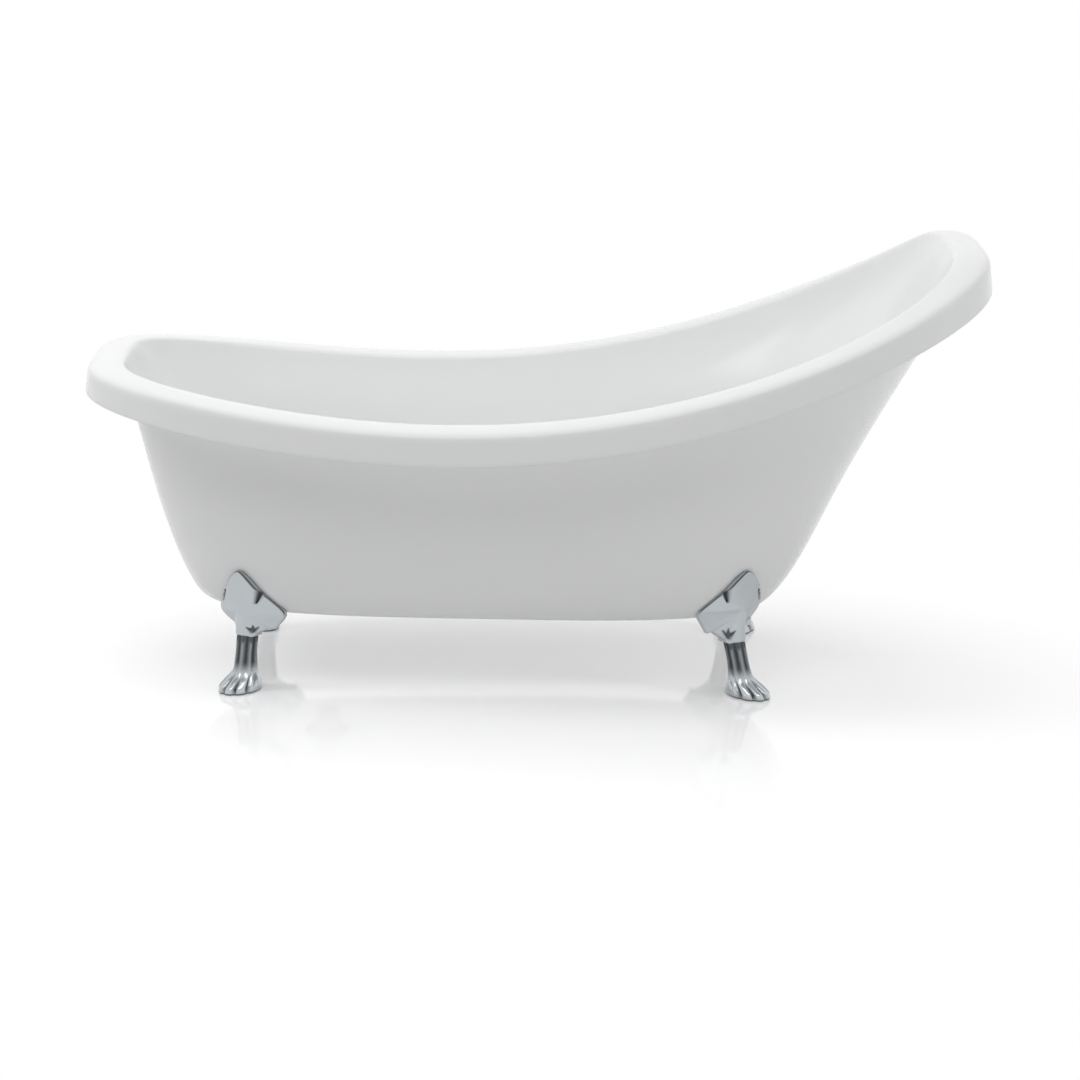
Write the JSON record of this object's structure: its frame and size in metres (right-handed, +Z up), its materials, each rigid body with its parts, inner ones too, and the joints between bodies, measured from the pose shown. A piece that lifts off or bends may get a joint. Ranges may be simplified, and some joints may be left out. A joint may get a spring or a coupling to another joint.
{
  "type": "clawfoot slipper bathtub",
  "caption": "Freestanding double-skinned slipper bath with a rolled rim, one high sloping end, leaf-plated claw feet with levellers, a pop-up waste and an overflow.",
  "frame": {"origin": "on the floor under the middle of the bath's length and width", "axes": "+X towards the high sloping end, +Y to the back, +Z up"},
  "size_m": [1.7, 0.8, 0.8364],
  "materials": {
    "white_acrylic": "high gloss white acrylic",
    "chrome": "polished chrome plate",
    "board": "raw plywood",
    "zinc_steel": "zinc plated",
    "black_rubber": "matt black rubber",
    "pipe_plastic": "satin white plastic"
  },
  "bodies": {
    "bath": {"inner_shell": "white_acrylic", "outer_skirt": "white_acrylic", "base_board": "board", "claw_foot_front_low": "chrome", "claw_foot_back_low": "chrome", "claw_foot_front_high": "chrome", "claw_foot_back_high": "chrome", "foot_screws": "zinc_steel", "foot_washers": "zinc_steel", "waste_flange": "chrome", "waste_gaskets": "black_rubber", "waste_body": "pipe_plastic", "overflow_cover": "chrome", "overflow_screw": "chrome", "overflow_seal": "black_rubber", "overflow_pipe": "pipe_plastic"},
    "plug": {"plug_cap": "chrome", "plug_seal": "black_rubber", "plug_stem": "zinc_steel"},
    "pad_front_low": {"leveller_pad_front_low": "black_rubber"},
    "screw_front_low": {"leveller_screw_front_low": "zinc_steel"},
    "pad_back_low": {"leveller_pad_back_low": "black_rubber"},
    "screw_back_low": {"leveller_screw_back_low": "zinc_steel"},
    "pad_front_high": {"leveller_pad_front_high": "black_rubber"},
    "screw_front_high": {"leveller_screw_front_high": "zinc_steel"},
    "pad_back_high": {"leveller_pad_back_high": "black_rubber"},
    "screw_back_high": {"leveller_screw_back_high": "zinc_steel"}
  },
  "joints": [
    {"name": "plug_lift", "type": "slide", "parent": "bath", "child": "plug", "axis": [0, 0, 1], "range_m": [0, 0.009]},
    {"name": "pad_travel_front_low", "type": "slide", "parent": "bath", "child": "pad_front_low", "axis": [0, 0, -1], "range_m": [0, 0.012]},
    {"name": "screw_turn_front_low", "type": "hinge", "parent": "pad_front_low", "child": "screw_front_low", "pos_m": [-0.54686, -0.20187, 0], "axis": [0, 0, -1], "range_deg": [0, 2880]},
    {"name": "pad_travel_back_low", "type": "slide", "parent": "bath", "child": "pad_back_low", "axis": [0, 0, -1], "range_m": [0, 0.012]},
    {"name": "screw_turn_back_low", "type": "hinge", "parent": "pad_back_low", "child": "screw_back_low", "pos_m": [-0.54686, 0.20187, 0], "axis": [0, 0, -1], "range_deg": [0, 2880]},
    {"name": "pad_travel_front_high", "type": "slide", "parent": "bath", "child": "pad_front_high", "axis": [0, 0, -1], "range_m": [0, 0.012]},
    {"name": "screw_turn_front_high", "type": "hinge", "parent": "pad_front_high", "child": "screw_front_high", "pos_m": [0.40186, -0.20187, 0], "axis": [0, 0, -1], "range_deg": [0, 2880]},
    {"name": "pad_travel_back_high", "type": "slide", "parent": "bath", "child": "pad_back_high", "axis": [0, 0, -1], "range_m": [0, 0.012]},
    {"name": "screw_turn_back_high", "type": "hinge", "parent": "pad_back_high", "child": "screw_back_high", "pos_m": [0.40186, 0.20187, 0], "axis": [0, 0, -1], "range_deg": [0, 2880]}
  ],
  "couplings": [
    {"joint": "screw_turn_front_low", "follows": "pad_travel_front_low", "rad_per_m": 4188.8},
    {"joint": "screw_turn_back_low", "follows": "pad_travel_back_low", "rad_per_m": 4188.8},
    {"joint": "screw_turn_front_high", "follows": "pad_travel_front_high", "rad_per_m": 4188.8},
    {"joint": "screw_turn_back_high", "follows": "pad_travel_back_high", "rad_per_m": 4188.8}
  ]
}
